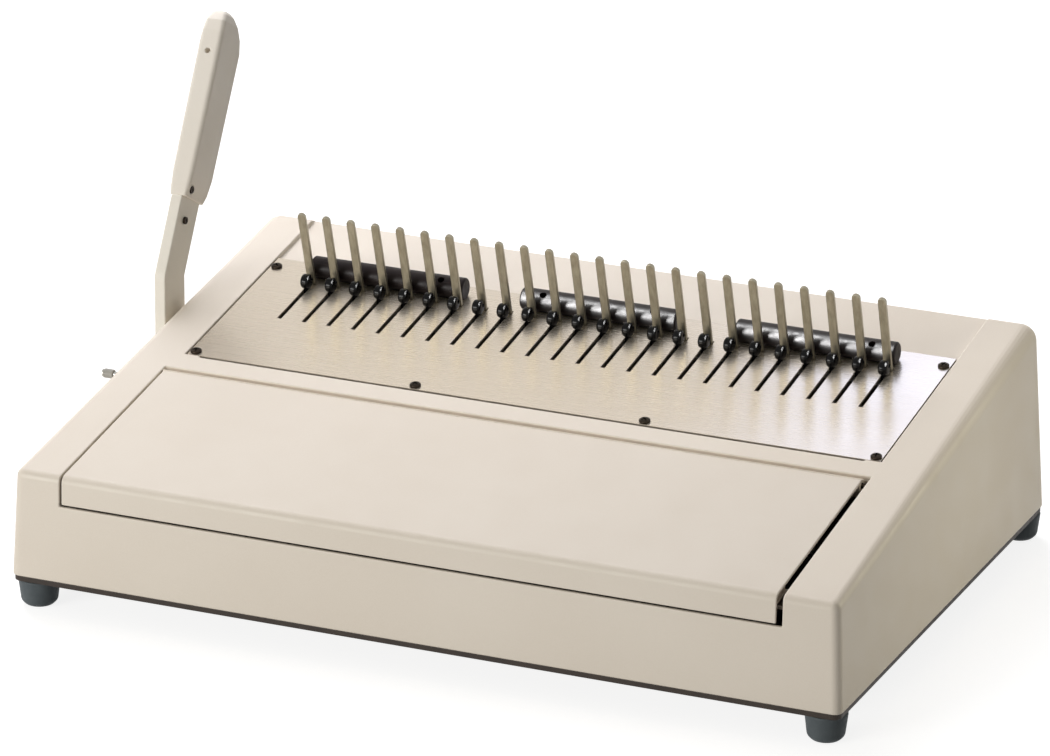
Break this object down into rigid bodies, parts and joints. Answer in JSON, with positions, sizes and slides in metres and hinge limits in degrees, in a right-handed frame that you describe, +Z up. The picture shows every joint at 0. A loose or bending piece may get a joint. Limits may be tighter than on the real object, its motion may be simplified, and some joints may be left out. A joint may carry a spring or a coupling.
{
  "type": "punch and comb binding machine",
  "caption": "Desk punch binding machine: a beige wedge casing with a hinged front lid, a steel deck with comb fingers and hooks, and a side lever that punches paper and opens combs.",
  "frame": {"origin": "middle of the footprint, on the plane that the feet stand on", "axes": "+X along the machine's width from the lever side to the other side, +Y from the front to the rear, +Z up"},
  "size_m": [0.4654, 0.3146, 0.247],
  "materials": {
    "body_paint": "beige powder coat, satin",
    "lever_paint": "beige powder coat, satin",
    "grip_plastic": "moulded beige plastic, fine grain",
    "base_black": "black paint, matt",
    "foot_rubber": "dark grey rubber, dull",
    "sleeve_grey": "moulded light grey plastic",
    "deck_steel": "brushed along the width",
    "finger_steel": "dull rolled steel",
    "hook_black": "black oxide, glossy",
    "rest_black": "black gloss paint",
    "screw_dark": "black oxide",
    "screw_zinc": "zinc plated",
    "inner_steel": "plain steel, oiled",
    "bush_bronze": "sintered bronze",
    "spring_steel": "oil-tempered wire",
    "tray_plastic": "moulded dark grey plastic"
  },
  "bodies": {
    "machine": {"casing": "body_paint", "base_plate": "base_black", "foot_front_left": "foot_rubber", "foot_front_right": "foot_rubber", "foot_rear_left": "foot_rubber", "foot_rear_right": "foot_rubber", "foot_screws": "screw_zinc", "casing_screws": "screw_zinc", "lid_hinge_pins": "screw_dark", "chip_tray": "tray_plastic", "chip_chute": "inner_steel", "deck_plate": "deck_steel", "deck_screws": "screw_dark", "fingers": "finger_steel", "finger_rail": "inner_steel", "spine_rest_left": "rest_black", "spine_rest_middle": "rest_black", "spine_rest_right": "rest_black", "rest_screws": "screw_zinc", "rail_guide_left": "inner_steel", "rail_guide_right": "inner_steel", "frame_left": "inner_steel", "frame_right": "inner_steel", "frame_bolts": "screw_dark", "frame_screws": "screw_dark", "die_plate": "inner_steel", "punch_guide": "inner_steel", "paper_stop": "inner_steel", "guide_rods": "inner_steel", "bush_left": "bush_bronze", "bush_right": "bush_bronze", "crank_stops": "screw_dark", "return_spring": "spring_steel", "stop_peg": "screw_zinc", "stop_sleeve": "sleeve_grey"},
    "lever": {"drive_shaft": "inner_steel", "shaft_rings": "screw_dark", "eccentric_left": "inner_steel", "eccentric_right": "inner_steel", "hook_crank_left": "inner_steel", "hook_crank_right": "inner_steel", "spring_collar": "inner_steel", "lever_arm": "lever_paint", "lever_grip": "grip_plastic", "grip_screws": "screw_dark", "lever_bolt": "screw_zinc", "lever_washer": "screw_zinc"},
    "hook_carriage": {"hook_rail": "inner_steel", "hooks": "hook_black"},
    "punch_carriage": {"punch_bar": "inner_steel", "punches": "inner_steel", "yoke_left": "inner_steel", "yoke_right": "inner_steel"},
    "lid": {"front_lid": "body_paint"}
  },
  "joints": [
    {"name": "lever_pull", "type": "hinge", "parent": "machine", "child": "lever", "pos_m": [0, 0.03718, 0.06469], "axis": [1, 0, 0], "range_deg": [0, 72.5], "stiffness_Nm_per_rad": 0.3, "springref_deg": -28.65, "deforming": ["return_spring"]},
    {"name": "hook_slide", "type": "slide", "parent": "machine", "child": "hook_carriage", "axis": [0, -0.9888, -0.1495], "range_m": [0, 0.0325]},
    {"name": "punch_slide", "type": "slide", "parent": "machine", "child": "punch_carriage", "axis": [0, -0.9888, -0.1495], "range_m": [0, 0.008]},
    {"name": "lid_open", "type": "hinge", "parent": "machine", "child": "lid", "pos_m": [0, -0.03556, 0.0896], "axis": [-1, 0, 0], "range_deg": [0, 95]}
  ],
  "couplings": [
    {"joint": "hook_slide", "follows": "lever_pull", "m_per_rad": 0.025684},
    {"joint": "punch_slide", "follows": "lever_pull", "m_per_rad": 0.0063222}
  ]
}
